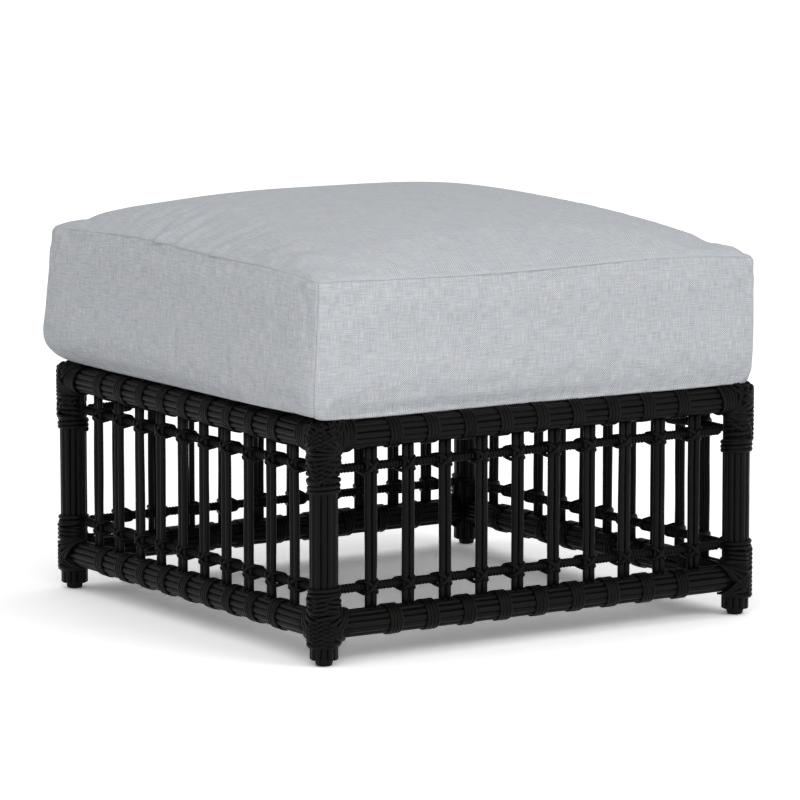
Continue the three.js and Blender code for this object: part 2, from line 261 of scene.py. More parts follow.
def sweep(path, normals, section, closed=False, bulge_share=0.4):
    """The points and faces of a section swept along a path, its crest towards the normals. The section
    is one outline, or one for each point of the path. Open ends bulge by a share of the crest."""
    section = np.broadcast_to(section, (len(path), *section.shape[-2:]))
    ahead = np.roll(path, -1, 0) - np.roll(path, 1, 0) if closed else np.gradient(path, axis=0)
    tangents = unit(ahead)
    normals = unit(normals - (normals * tangents).sum(-1, keepdims=True) * tangents)
    across = np.cross(normals, tangents)
    rings = path[:, None] + across[:, None] * section[..., :1] + normals[:, None] * section[..., 1:]
    points = rings.reshape(-1, 3)
    ring = np.arange(len(points)).reshape(rings.shape[:2])
    if closed:
        return points, [quads_between(ring, np.roll(ring, -1, 0))]
    bulge = section[0, :, 1].max() * bulge_share
    tips = [path[0] - tangents[0] * bulge, path[-1] + tangents[-1] * bulge]
    ends = np.concatenate([fan(ring[0], len(points))[:, ::-1], fan(ring[-1], len(points) + 1)])
    return np.concatenate([points, tips]), [quads_between(ring[:-1], ring[1:]), ends]


class Strands:
    """Swept strands gathered into one mesh. The grain attribute holds, for each point, its place
    round and along its strand and the strand's own tone."""

    def __init__(self):
        self.points, self.grain, self.faces = [], [], []
        self.count = 0

    def add(self, path, normals, section, closed=False):
        points, faces = sweep(path, normals, section, closed)
        outline = section.reshape(-1, *section.shape[-2:])[0]
        sides = len(outline)
        along = np.concatenate([[0], np.cumsum(np.linalg.norm(np.diff(path, axis=0), axis=1))])
        around = np.linalg.norm(np.diff(outline, axis=0), axis=1).sum() * np.arange(sides) / sides
        tone = random.uniform(0, 1)
        grain = points_of(around + 0.05 * tone, along[:, None] + tone, tone)
        self.points.append(points)
        self.grain += [grain.reshape(-1, 3), grain[[] if closed else [0, -1], 0]]
        self.faces += [part + self.count for part in faces]
        self.count += len(points)

    def wind(self, along, angle, radius, place, section):
        """A strand wound round a line along X, with its place along it and round it."""
        outward = points_of(0, np.cos(angle), np.sin(angle))
        path = points_of(along, 0, 0) + outward * radius[:, None] + place
        self.add(path, outward, section)

    def piece(self, name, quarter, material, *nodes, body="frame", slot="wicker"):
        piece = mesh_object(name, turned(np.concatenate(self.points), quarter), self.faces, body)
        attribute(piece, "grain", "FLOAT_VECTOR", "POINT", np.concatenate(self.grain))
        dressed(piece, material, slot, *nodes)


# Materials

class Shading:
    """The nodes of a material or a world, made and wired by short calls."""

    def __init__(self, owner):
        owner.use_nodes = True
        self.nodes, self.links = owner.node_tree.nodes, owner.node_tree.links

    def give(self, socket, value):
        """Sets a socket to a value, or links it to another node's output."""
        if isinstance(value, bpy.types.NodeSocket):
            self.links.new(value, socket)
        else:
            socket.default_value = value

    def node(self, kind, inputs=(), **settings):
        node = self.nodes.new("ShaderNode" + kind)
        for name, value in settings.items():
            setattr(node, name, value)
        for name, value in dict(inputs).items():
            self.give(node.inputs[name], value)
        return node

    def maths(self, operation, *values):
        return self.node("Math", dict(enumerate(values)), operation=operation).outputs[0]

    def attribute(self, name):
        return self.node("Attribute", attribute_name=name).outputs

    def noise(self, vector, scale, detail):
        return self.node("TexNoise", {"Vector": vector, "Scale": scale, "Detail": detail}).outputs

    def stretched_noise(self, vector, scales, detail):
        """Noise with its own scale along each axis."""
        place = self.node("Mapping", {"Vector": vector, "Scale": scales}).outputs["Vector"]
        return self.noise(place, 1, detail)

    def mix(self, factor, first, second, blend="MIX"):
        inputs = {"Factor": factor, "A": first, "B": second}
        return self.node("Mix", inputs, data_type="RGBA", blend_type=blend).outputs["Result"]

    def ramp(self, value, low, high, start=0, end=1):
        node = self.node("ValToRGB", {"Fac": value})
        for element, place, colour in zip(node.color_ramp.elements, (start, end), (low, high)):
            element.position = place
            element.color = (*colour, 1)
        return node.outputs["Color"]

    def bump(self, height, strength, distance):
        inputs = {"Height": height, "Strength": strength, "Distance": distance}
        return self.node("Bump", inputs).outputs["Normal"]


def new_material(name, colour, roughness, specular, metallic=0.0):
    material = bpy.data.materials.new(name)
    shading = Shading(material)
    shader = shading.nodes["Principled BSDF"].inputs
    shader["Base Color"].default_value = (*colour, 1)
    shader["Roughness"].default_value = roughness
    shader["Specular IOR Level"].default_value = specular
    shader["Metallic"].default_value = metallic
    return material, shading, shader


def grained(shading, shader, grain, colour, smoothest, roughest, strength, depth):
    """Wires a colour, a roughness and a bump that follow one grain."""
    rough = shading.node("MapRange", {"Value": grain, "To Min": smoothest, "To Max": roughest})
    shading.give(shader["Base Color"], colour)
    shading.give(shader["Roughness"], rough.outputs["Result"])
    shading.give(shader["Normal"], shading.bump(grain, strength, depth))


def wicker_material():
    """Nearly black strands with fibres along them and a tone of their own."""
    dark, light = (0.0004, 0.0004, 0.00036), (0.0052, 0.0051, 0.0047)
    fibre_scales = (750, 60, 0)  # round the strand, along it and by its tone
    tone_share = 0.3
    grey = (0.007, 0.007, 0.007)
    material, shading, shader = new_material("wicker_strand", grey, roughness=0.5, specular=0.085)
    place = shading.attribute("grain")["Vector"]
    fibre = shading.stretched_noise(place, fibre_scales, 4)["Fac"]
    tone = shading.node("SeparateXYZ", {"Vector": place}).outputs["Z"]
    blend = shading.maths("MULTIPLY_ADD", tone, tone_share, fibre)
    colour = shading.ramp(blend, dark, light, start=0.3, end=0.85)
    grained(shading, shader, fibre, colour, smoothest=0.3, roughest=0.52, strength=0.35, depth=0.4 * MM)
    return material


def grained_material(name, colour, other, roughness, scale, depth, metallic=0.0, specular=0.3):
    """A material whose colour and roughness vary a little in its grain."""
    material, shading, shader = new_material(name, colour, roughness, specular, metallic)
    place = shading.node("TexCoord").outputs["Object"]
    grain = shading.noise(place, scale, 3)["Fac"]
    colours = shading.ramp(grain, colour, other, start=0.35, end=0.65)
    smoothest, roughest = roughness - 0.08, roughness + 0.08
    grained(shading, shader, grain, colours, smoothest, roughest, strength=0.4, depth=depth)
    return material


# Bundles round the posts and rails

def bundle(start, direction, length, out_a, out_b):
    """Strands side by side round an axis from start. out_a and out_b are square to it."""
    strands = Strands()
    places = np.linspace(0, length, max(8, int(length / BUNDLE_STEP)))
    section = oval(*BUNDLE_OVAL, 10)
    for strand in range(BUNDLE_COUNT):
        angle = TURN * strand / BUNDLE_COUNT + wander(places, 0.31, BUNDLE_WANDER / BUNDLE_RADIUS)
        outward = np.outer(np.cos(angle), out_a) + np.outer(np.sin(angle), out_b)
        radius = BUNDLE_RADIUS - BUNDLE_CREST + wander(places, 0.23, BUNDLE_WANDER * 0.4)
        strands.add(start + np.outer(places, direction) + radius[:, None] * outward, outward, section)
    return strands


def rail_bundle(level, quarter, material):
    start = (-RAIL_LENGTH / 2, -POST, RAIL_HEIGHTS[level])
    name = SIDES[quarter]
    strands = bundle(start, (1, 0, 0), RAIL_LENGTH, FORWARD, (0, 0, 1))
    strands.piece(f"rail_{level}_{name}", quarter, material, f"{level}_rail_strands_{name}")


def post_bundle(quarter, material):
    start = (-POST, -POST, POST_FOOT)
    name = CORNERS[quarter]
    strands = bundle(start, (0, 0, 1), POST_TOP - POST_FOOT, (1, 0, 0), (0, 1, 0))
    strands.piece(f"post_{name}", quarter, material, f"post_strands_{name}")


def rail_bands(level, quarter, material):
    """Bands of a few turns each, wound round the rail with their ends tucked in on the inside."""
    strands = Strands()
    section = oval(*BAND_OVAL, 8)
    angle = np.linspace(0, TURN * BAND_TURNS, BAND_STEPS * BAND_TURNS + 1)
    spacing = TURN / BUNDLE_COUNT
    from_crest = (angle + spacing / 2) % spacing - spacing / 2
    from_valley = spacing / 2 - np.abs(from_crest)
    sink = BUNDLE_RADIUS * (BAND_SINK_SHARE - 0.5 * (1 - np.cos(from_valley))).clip(0)
    tuck = BAND_TUCK * bell(np.minimum(angle, angle[-1] - angle), TUCK_ANGLE)
    offset = (angle / TURN - BAND_TURNS / 2) * (BAND_WIDTH - BAND_OVERLAP)
    for pair in PAIR_PLACES[:-1]:
        centre = pair + PAIR_PITCH / 2 + random.normal(0, 0.4 * MM)
        radius = BUNDLE_RADIUS + BAND_RISE - sink + wander(angle, 5, 0.12 * MM) - tuck
        strands.wind(centre + offset, angle, radius, (0, -POST, RAIL_HEIGHTS[level]), section)
    strands.piece(f"bands_{level}_{SIDES[quarter]}", quarter, material)


# Lattice panels

def spindles(quarter, material):
    strands = Strands()
    low = RAIL_HEIGHTS["bottom"] + BUNDLE_RADIUS - SPINDLE_SINK
    high = RAIL_HEIGHTS["top"] - BUNDLE_RADIUS + SPINDLE_SINK
    places = np.linspace(low, high, 15)
    round_section = oval(2 * SPINDLE_RADIUS, SPINDLE_RADIUS, SPINDLE_RADIUS, 12)
    for pair in PAIR_PLACES:
        for side in (-1, 1):
            section = round_section * random.uniform(0.95, 1.0)
            x = pair + side * (SPINDLE_RADIUS + PAIR_GAP / 2) + wander(places, 0.3, 0.25 * MM)
            y = -POST + wander(places, 0.25, 0.3 * MM)
            strands.add(points_of(x, y, places), FORWARD, section)
    name = SIDES[quarter]
    strands.piece(f"spindles_{name}", quarter, material, f"lattice_{name}")


def rod_radius(along):
    """The radius of a cross rod's core, which is padded with more turns at the spindles."""
    away = np.abs(along[:, None] - PAIR_PLACES).min(1)
    return ROD_CORE + ROD_SWELL * bell(away, SWELL_REACH)


def cross_rods(quarter, material):
    """Each rod is a core with a strand wound round it from end to end."""
    strands = Strands()
    half = ROD_LENGTH / 2
    turns = ROD_LENGTH / ROD_PITCH
    angle = np.linspace(0, TURN * turns, int(ROD_STEPS * turns))
    places = np.linspace(-half, half, 121)
    core = oval(2, 1, 1, 12) * rod_radius(places)[:, None, None]
    winding = oval(*ROD_OVAL, 6)
    for height in ROD_HEIGHTS:
        place = (0, ROD_DEPTH - POST, height)
        strands.add(points_of(places, *place[1:]), FORWARD, core)
        along = np.linspace(-half, half, len(angle)) + wander(angle, 200, 0.5 * MM)
        strands.wind(along, angle, rod_radius(along) + wander(angle, 90, 0.08 * MM), place, winding)
    strands.piece(f"cross_rods_{SIDES[quarter]}", quarter, material)


def lashings(quarter, material):
    """A strand that crosses itself in front of each pair of spindles and turns round the rod beside it."""
    strands = Strands()
    section = oval(*LASH_OVAL, 8)
    front = -SPINDLE_RADIUS - LASH_RISE
    ring = ROD_CORE + ROD_CREST + LASH_ROOM
    reach = 2 * SPINDLE_RADIUS + PAIR_GAP / 2
    above = [  # knots past one side of the pair, from in front of it to behind the rod
        (0.6 * reach, 0.95 * front, 0.75 * ring),
        (reach + 0.7 * MM, 0, 1.15 * ring),
        (reach + 2.4 * MM, ROD_DEPTH - 0.3 * ring, 1.02 * ring),
        (reach + 4.0 * MM, ROD_DEPTH + 0.7 * ring, 0.7 * ring),
    ]
    behind = (reach + 4.5 * MM, ROD_DEPTH + ring, 0)
    turn = [*above, behind, *((x, y, -z) for x, y, z in reversed(above))]
    under, over = (0, front, 0), (0, front - 0.9 * LASH_CREST, 0)
    line = spline([under, *turn, over, *((-x, y, z) for x, y, z in turn), under], 113)
    for height in ROD_HEIGHTS:
        for pair in PAIR_PLACES:
            is_turned = random.uniform() < LASH_TURNED_SHARE
            sloping = (1, 1, 1 if is_turned == (quarter % 2 == 0) else -1)
            path = line * (1, 1, random.uniform(0.94, 1.08))
            outward = path - (0, ROD_DEPTH * 0.9, 0)
            outward[:, 0] *= 0.8 * np.clip(np.abs(path[:, 2]) / ring, 0.1, 1)
            place = (pair, -POST, height + random.normal(0, 0.3 * MM))
            strands.add(path * sloping + place, outward * sloping, section)
    strands.piece(f"lashings_{SIDES[quarter]}", quarter, material)


# Corner joints

def joint_distance(points, is_top):
    """Distance from the bundles of a joint, with their inner corners filled a little. Joints are made
    round a post's axis at the origin, level with the rails, which leave along +X and +Y."""
    x, y, z = np.moveaxis(points, -1, 0)
    distance = np.hypot(x, y) - BUNDLE_RADIUS
    if is_top:
        cap = z - (WRAP_TOP - RAIL_HEIGHTS["top"] - WRAP_RISE - WRAP_CREST - WRAP_WEAVE)
        post, cap = distance + CAP_EDGE, cap + CAP_EDGE
        distance = np.hypot(post.clip(0), cap.clip(0)) + np.minimum(np.maximum(post, cap), 0) - CAP_EDGE
    for along, square in ((x, y), (y, x)):
        other = np.maximum(np.hypot(square, z) - BUNDLE_RADIUS, -along)
        mix = np.clip(0.5 + 0.5 * (distance - other) / WRAP_FILLET, 0, 1)
        distance = distance * (1 - mix) + other * mix - WRAP_FILLET * mix * (1 - mix)
    return distance


def joint_normal(points, is_top):
    shifts = np.eye(3) * 0.05 * MM
    slopes = [joint_distance(points + s, is_top) - joint_distance(points - s, is_top) for s in shifts]
    return unit(np.stack(slopes, -1) + 1e-12)


def seated(points, is_top):
    """Points moved to lie at the strands' rise above the joint."""
    for _ in range(5):
        gap = joint_distance(points, is_top) - WRAP_RISE
        points = points - gap[..., None] * joint_normal(points, is_top)
    return points


def drawn_tight(pins, is_top, count=64, pulls=24, free_pulls=5):
    """A strand laid over the joint through the pins, pulled straight between them."""
    pins = np.asarray(pins, float)
    legs = np.linalg.norm(np.diff(pins, axis=0), axis=1)
    places = np.concatenate([[0], np.cumsum(legs)]) / legs.sum() * (count - 1)
    held = np.unique(np.round(places).astype(int))
    line = np.stack([np.interp(np.arange(count), places, way) for way in pins.T], -1)
    line = seated(line, is_top)
    fixed = line[held]
    for pull in range(pulls):
        moved = line.copy()
        moved[1:-1] = 0.5 * line[1:-1] + 0.25 * (line[:-2] + line[2:])
        if pull < pulls - free_pulls:
            moved[held] = fixed
        line = seated(moved, is_top)
    return line


def mirrored(points):
    """Points with the two rails changed over."""
    return points[..., [1, 0, 2]]


def squareness(line):
    """How squarely a strand crosses the joint's plane of symmetry."""
    across = line[:, 0] - line[:, 1]
    crossing = int(np.argmax(np.diff(np.sign(across)) != 0))
    tangent = unit(line[crossing + 1] - line[crossing])
    return abs(tangent[0] - tangent[1]) / math.sqrt(2)


def upper_pins(level, bottom):
    """The pins of an upper joint's strand from the crotch under the rail along X. It crosses the
    joint's plane of symmetry at a level, and levels above its edge run on inwards over the top."""
    r = BUNDLE_RADIUS
    outer = r / math.sqrt(2)
    edge = r - EDGE_INSET
    crotch = (r + 1.5 * MM, 0, -r)
    if level < -r:
        start = -r - 1 * MM + 0.25 * (level + r)
        fall = 0.3 * (level - start)
        return [
            (r, 0, start),
            (0, -r, start * 0.45 + level * 0.55),
            (-outer, -outer, level),
            (-r, 0, max(level + fall * 0.5, bottom)),
            (0, r, max(level + fall, bottom)),
        ]
    if level < edge:
        over = 12 * MM + 0.6 * (edge - level)
        return [
            crotch,
            (2 * MM, -r, -r + 0.5 * (level + r)),
            (-outer, -outer, level),
            (-r, 0.5 * (over - outer), 0.5 * (level + r)),
            (0, over, r),
            (r, max(over, r), 0.3 * r),
        ]
    inward = (level - edge) / math.sqrt(2) - outer
    ridge = (0, 1 * MM - 0.8 * inward, r) if inward < 0 else (inward + 1 * MM, inward + 4 * MM, r)
    return [
        crotch,
        (inward + 3 * MM, -r, 0),
        (inward + 0.5 * MM, -0.6 * r, 0.8 * r),
        (inward, inward, r),
        ridge,
        (r, r + 1 * MM, 0.3 * r),
    ]


def lower_pins(level, bottom):
    """The pins of a lower joint's strand from the top of the rail along X. The lower it crosses the
    joint's plane of symmetry, the farther out on the rail it starts."""
    r = BUNDLE_RADIUS
    outer = r / math.sqrt(2)
    if level > r - EDGE_INSET:
        return [
            (r, 0, level + 5 * MM),
            (0, -r, level + 3 * MM),
            (-outer, -outer, level),
            (-r, 0, max(level - 2 * MM, r)),
            (0, r, max(level - 4 * MM, r + 1 * MM)),
        ]
    share = (r - level) / (2 * r)
    far, near = r + LOWER_SPREAD * share, r + LOWER_SPREAD * (1 - share)
    end = -r - 3 * MM * share
    return [
        (far, 0, r),
        (0.62 * far, -r, r + 0.3 * (level - r)),
        (0.2 * far, -r, r + 0.65 * (level - r)),
        (-outer, -outer, level),
        (-r, 0.2 * near, max(level + 0.4 * (end - level), bottom)),
        (-r, 0.62 * near, max(level + 0.75 * (end - level), bottom)),
        (0, near, max(end, bottom)),
    ]


def joint_lines(first, last, is_top):
    """One family of strands over a joint, side by side where they cross the plane of symmetry."""
    lines = []
    level = first
    pins = upper_pins if is_top else lower_pins
    while level <= last:
        lines.append(drawn_tight(pins(level, first), is_top))
        level += WRAP_PITCH / max(squareness(lines[-1]), 0.5)
    return lines


def crossing_lift(line, number, lines):
    """How far a strand rises over and dips under the strands of the other family."""
    spots, heights = [0, len(line) - 1], [START_LIFT * (number % 3 - 1), 0]
    for other_number, other in enumerate(lines):
        gaps = np.linalg.norm(line[:, None] - mirrored(other), axis=-1).min(1)
        gaps[line[:, 0] + line[:, 1] > CROSSING_REACH] = 1
        spot = int(np.argmin(gaps))
        if gaps[spot] < CROSSING_GAP:
            spots.append(spot)
            heights.append(1 if (number + other_number) % 2 == 0 else -1)
    order = np.argsort(spots, kind="stable")
    lift = np.interp(np.arange(len(line)), np.array(spots)[order], np.array(heights, float)[order])
    return WRAP_WEAVE * np.sin(lift * math.pi / 2)


def crossing_strands(strands, place, levels, is_top, section):
    """Two families of strands that fan out from the joint's inner corners and cross each other over
    its outer face in a plain weave."""
    lines = joint_lines(*levels, is_top)
    for number, line in enumerate(lines):
        normals = joint_normal(line, is_top)
        lift = crossing_lift(line, number, lines)[:, None] * normals
        strands.add(line + lift + place, normals, section)
        strands.add(mirrored(line - lift) + place, mirrored(normals), section)


def post_rounds(strands, place, low, high, section):
    """Turns of strand round the post alone."""
    turns = (high - low) / WRAP_PITCH
    angle = np.linspace(0, TURN * turns, int(POST_ROUND_STEPS * turns)) + POST_ROUND_START
    height = np.linspace(low, high, len(angle)) + wander(angle, 9, 0.45 * MM)
    outward = points_of(np.cos(angle), np.sin(angle), 0)
    radius = BUNDLE_RADIUS + WRAP_RISE + wander(angle, 7, 0.15 * MM)
    strands.add(outward * radius[:, None] + points_of(0, 0, height) + place, outward, section)


def rail_rounds(strands, place, reach, section):
    """Turns of strand round both rails beside the joint, drawn together on the side of its crotch."""
    angle = np.linspace(0, TURN, 29)[:-1]
    outward = points_of(0, -np.cos(angle), np.sin(angle))
    toward_crotch = (1 - np.sin(angle)) / 2
    radius = BUNDLE_RADIUS + WRAP_RISE * 0.9
    for changed in (np.asarray, mirrored):
        for number in range(RAIL_ROUNDS):
            far = reach - number * WRAP_PITCH
            near = reach - ROUNDS_DRAW - number * WRAP_PITCH * ROUNDS_CLOSE_SHARE
            along = far + (near - far) * toward_crotch + wander(angle, TURN, 0.3 * MM)
            path = outward * radius + points_of(along, 0, 0)
            strands.add(changed(path) + place, changed(outward), section, closed=True)


def corner_wrap(level, quarter, material):
    strands = Strands()
    is_top = level == "upper"
    low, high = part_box(f"{level}_wrap_front_left")
    height = RAIL_HEIGHTS["top" if is_top else "bottom"]
    place = (-POST, -POST, height)
    section = oval(*WRAP_OVAL, 8)
    bottom = low.z - height + WRAP_WIDTH / 2
    top = high.z - height - WRAP_WIDTH / 2
    rounds_height = POST_ROUNDS[level] * WRAP_PITCH
    if is_top:
        rounds = (bottom, bottom + rounds_height)
        levels = (rounds[1] + ROUNDS_GAP, INNERMOST_LEVEL * BUNDLE_RADIUS)
    else:
        rounds = (top - rounds_height, top)
        levels = (bottom, rounds[0] - ROUNDS_GAP)
    crossing_strands(strands, place, levels, is_top, section)
    post_rounds(strands, place, *rounds, section)
    if is_top:
        rail_rounds(strands, place, high.x + POST - WRAP_WIDTH / 2, section)
    name = CORNERS[quarter]
    strands.piece(f"joint_{level}_{name}", quarter, material, f"{level}_wrap_{name}")


# Cushion

# Its panels are laid out on a square of u across and v back, from -1 to 1, and its sides on the
# height share s from the bottom seam to the top one. Four values are those of the CORNERS in turn.
CROWN_HEIGHT = 53.2 * MM
CROWN_POWERS = ((3.04, 3.57), (3.21, 2.72))  # to the left and right, and to the front and back
CROWN_ROUNDNESS = ((0.718, 0.846), (0.83, 0.735))
CROWN_LEAN = (0.024, 0.031)  # towards the right and the back
CORNER_FULLNESS = 1.3  # share that the crown's corners are filled out
CORNER_PUFFS = (0.5 * MM, 3.0 * MM, 1.0 * MM, 0)  # rise of a soft swelling inside each corner
PUFF_PLACE = 28 * MM  # from the corner
PUFF_WIDTH = 12 * MM
PUFF_START = 6 * MM  # from the seam to its full rise
SEAM_LIFTS = (0.2 * MM, -9.5 * MM, 7.8 * MM, 6.5 * MM)  # of the top seam, from the CAD model's
FRONT_SEAM_WAVES = (0.1 * MM, -3.3 * MM, 1.7 * MM, -0.3 * MM)  # with one, two, three and four humps
LEFT_SEAM_WAVES = (6.7 * MM, -0.6 * MM, 1.4 * MM, 0.9 * MM)
WAVE_REACH = 3
CORNER_ROUNDING = (0.009, 0.012, 0.012, 0.013)  # share that the corners are drawn in
CORNER_POWER = 48
SEAM_CORNER_DRAW = 0.005  # share more at the top seam
SEAM_CORNER_POWER = 9
NEAR_SHIFT = 3.2 * MM  # of the front left corner's seam, round towards the front
NEAR_POWER = 20
SIDE_DRAW = 8.2 * MM  # of the middle of each side
SIDE_BULGE = 4.24 * MM
BULGE_SHIFT = 0.49
SIDE_POWER = 60  # how fast a side's own share fades round its corners
BOTTOM_ROUNDING = (6 * MM, 6 * MM, 8 * MM, 34 * MM)  # radius of the lower edge
SLIDE = (-0.84, 0.543)  # the way in which the loose cushion has slid
TOP_SLIDE = 2.51 * MM
BOTTOM_SLIDE = 10.06 * MM
EDGE_DROPS = (0, 2.4 * MM, 1.0 * MM, 0)  # of the rim that hangs over the rail
EDGE_POWER = 30
LEFT_RISE = 6 * MM  # of the left side's rim, which lies up on the rail
RISE_SHARES = {-1: 0.85, -0.9: 1, -0.75: 0.9, -0.4: 0.45, 0: 0.2, 0.65: 0}
FRONT_TUCK = 6 * MM  # of the front above its lower edge
TUCK_HEIGHT = 17 * MM
TUCK_POWER = 1.3
TUCK_SHARES = {-1: 0.3, -0.85: 1, 0: 1, 0.35: 0.5, 0.9: 0.4, 1: 0.2}

# Seams, each a crease with a welt beside it, and the fold of the lower edge with a hollow above it
SEAM_ROUNDING = 4.5 * MM
SEAM_TUCK = 1.5 * MM  # of the top seam inside the boxing
CREASE_DEPTH = 0.6 * MM
CREASE_WIDTH = 0.9 * MM
CORNER_CREASE = 1.2  # times as deep down the corners
LEFT_CREASE = 0.45  # times as deep along the left side
WELT_RISE = 0.45 * MM
WELT_PLACE = 3.6 * MM
WELT_WIDTH = 2.2 * MM
SIDE_WELT_SHARE = 0.3
CORNER_WELT_SHARE = 0.5
CORNER_SEAM_START = 2 * MM  # below the top seam
HEM_RISE = 1.0 * MM
FRONT_HEM_RISE = 1.2 * MM  # more along the front
HEM_PLACE = 1.6 * MM
HEM_WIDTH = 1.2 * MM
HOLLOW_DEPTH = 1.0 * MM
HOLLOW_PLACE = 9 * MM
HOLLOW_WIDTH = 5 * MM

# Shade painted into the cloth's colour in its seams, and a highlight painted on the front's lower fold, as
# shares of its light
STITCH_WIDTH = 0.7 * MM
STITCH_SHADE = 0.03
FRONT_STITCH_SHADE = 0.16  # more painted shade along the front
CORNER_SHADE = 0.28
HEM_PAINTED_HIGHLIGHT = 0.16  # painted highlight that the front's lower fold gains

# Puckers
SEAM_ROWS = np.array([0, 0.5, 1.0, 1.6, 2.4, 3.4, 4.8, 6.8, 9.6]) * MM  # of points beside a seam
CLOTH_STEP = 4.5 * MM
COARSE_ACROSS, COARSE_UP = 73, 20  # points where the cloth is simulated
CLOTH_SETTINGS = {
    "quality": 5,
    "mass": 0.25,
    "tension_stiffness": 12,
    "compression_stiffness": 12,
    "shear_stiffness": 4,
    "bending_stiffness": 0.4,
    "use_pressure": True,
    "uniform_pressure_force": 4,
    "vertex_group_mass": "held",
    "shrink_min": -0.02,
}
CLOTH_FRAMES = 20
SWELL_PASSES = 14  # of smoothing that leave the swelling alone
SWELL_CAP = 8 * MM
PUCKER_CAP = 1.6 * MM
PUCKER_WIDTH = 6.5 * MM
PUCKER_FADE = 0.6  # share of its rise that a pucker loses by its end
PUCKERS = (  # on the top panel: start u and v, end u and v, rise
    (-0.995, 0.19, -0.87, 0.16, 4.2 * MM),
    (-0.97, 0.035, -0.76, -0.01, 4.0 * MM),
    (-0.995, -0.23, -0.92, -0.265, 2.2 * MM),
    (-0.98, 0.255, -0.70, 0.325, -3.8 * MM),
    (-0.99, 0.105, -0.84, 0.08, -2.8 * MM),
    (-0.99, 0.42, -0.90, 0.44, 1.4 * MM),
    (0.985, -0.80, 0.86, -0.74, 1.2 * MM),
    (0.80, -0.985, 0.74, -0.88, 1.0 * MM),
    (0.62, 0.985, 0.58, 0.86, 1.4 * MM),
    (-0.55, 0.985, -0.50, 0.88, 1.4 * MM),
)
ZIP_CLEARANCE = 12 * MM

# Cloth
BOTTOM_CLOTH, SIDE_CLOTH = 3, 7  # metres by which these panels lie apart from the top on the flat cloth
THREAD = 1.25 * MM
THREAD_CONTRAST = 0.8
THREAD_TINT = 0.16
WEAVE_CONTRAST = 1.32
TOP_CONTRAST = 0.55  # share of the thread contrast that the top panel shows
CLOTH_DARK, CLOTH_LIGHT = (0.27, 0.29, 0.32), (0.80, 0.82, 0.85)


def corner_blend(values, u, v):
    """Values of the four corners, blended over the square."""
    a, b = (u + 1) / 2, (v + 1) / 2
    front_left, front_right, back_right, back_left = values
    return (front_left * (1 - a) + front_right * a) * (1 - b) + (back_left * (1 - a) + back_right * a) * b


def side_share(w):
    """1 on the side where w is -1, fading round its corners."""
    return ((1 - w) / 2) ** SIDE_POWER


def along_side(shares, w):
    return np.interp(w, list(shares), list(shares.values()))


def plan(u, v, inset, slide, s=0):
    straight = np.where(v > 0, ZIP_HALF / CUSHION_HALF, 0)  # the zip's part of the back
    half_x = CUSHION_HALF - inset - SIDE_DRAW * (1 - v**2)
    half_y = CUSHION_HALF - inset - SIDE_DRAW * (1 - np.maximum(np.abs(u), straight) ** 2)
    rounding = corner_blend(CORNER_ROUNDING, u, v) + SEAM_CORNER_DRAW * s**SEAM_CORNER_POWER
    corner = 1 - rounding * np.abs(u * v) ** CORNER_POWER
    near = NEAR_SHIFT * (1 - 0.6 * s**4) * ((1 - u) * (1 - v) / 4) ** NEAR_POWER
    return u * half_x * corner + SLIDE[0] * slide + near, v * half_y * corner + SLIDE[1] * slide - near


def humps(heights, w):
    """A wavy line from -1 to 1, as the sum of sine waves with one hump, two humps and so on."""
    return sum(h * np.sin(math.pi * (number + 1) * (w + 1) / 2) for number, h in enumerate(heights))


def seam_height(u, v):
    front = humps(FRONT_SEAM_WAVES, u) * ((1 - v) / 2) ** WAVE_REACH
    left = humps(LEFT_SEAM_WAVES, v) * ((1 - u) / 2) ** WAVE_REACH
    return CUSHION_SEAM + corner_blend(SEAM_LIFTS, u, v) + front + left


def crown_fall(w, powers, roundness):
    """How the crown falls from 1 in the middle to 0 at the seams, with its own shape each way."""
    return np.maximum(0, 1 - np.abs(w) ** np.where(w < 0, *powers)) ** np.where(w < 0, *roundness)


def top_panel(u, v):
    crown = CROWN_HEIGHT * (1 + CROWN_LEAN[0] * u + CROWN_LEAN[1] * v)
    across, back = map(crown_fall, (u, v), CROWN_POWERS, CROWN_ROUNDNESS)
    share = across * back
    filled = share / np.maximum(across + back - share, 1e-9)
    fullness = CORNER_FULLNESS * np.abs(u * v) * (1 - np.abs(u * v) ** 4)
    share = share + (filled - share) * fullness
    from_corner = np.hypot(1 - np.abs(u), 1 - np.abs(v)) * CUSHION_HALF
    from_seam = (1 - np.maximum(np.abs(u), np.abs(v))) * CUSHION_HALF
    puff = corner_blend(CORNER_PUFFS, u, v) * bell(from_corner - PUFF_PLACE, PUFF_WIDTH)
    puff = puff * np.clip(from_seam / PUFF_START, 0, 1)
    return points_of(*plan(u, v, SEAM_TUCK, TOP_SLIDE, 1), seam_height(u, v) + crown * share + puff)


def rounded(distance, radius):
    """How far a rounded edge lies inside its face at a distance from its end."""
    share = np.clip(1 - distance / radius, 0, 1)
    return radius * (1 - np.sqrt(1 - share**2))


def front_share(u, v):
    """1 where the front tucks in most above its lower edge, and 0 round its corners."""
    return along_side(TUCK_SHARES, u) * side_share(v)


def edge_height(u, v):
    rim = np.maximum(np.abs(u), np.abs(v)) ** EDGE_POWER
    rise = LEFT_RISE * along_side(RISE_SHARES, v) * side_share(u)
    return CUSHION_LOW - corner_blend(EDGE_DROPS, u, v) * rim + rise


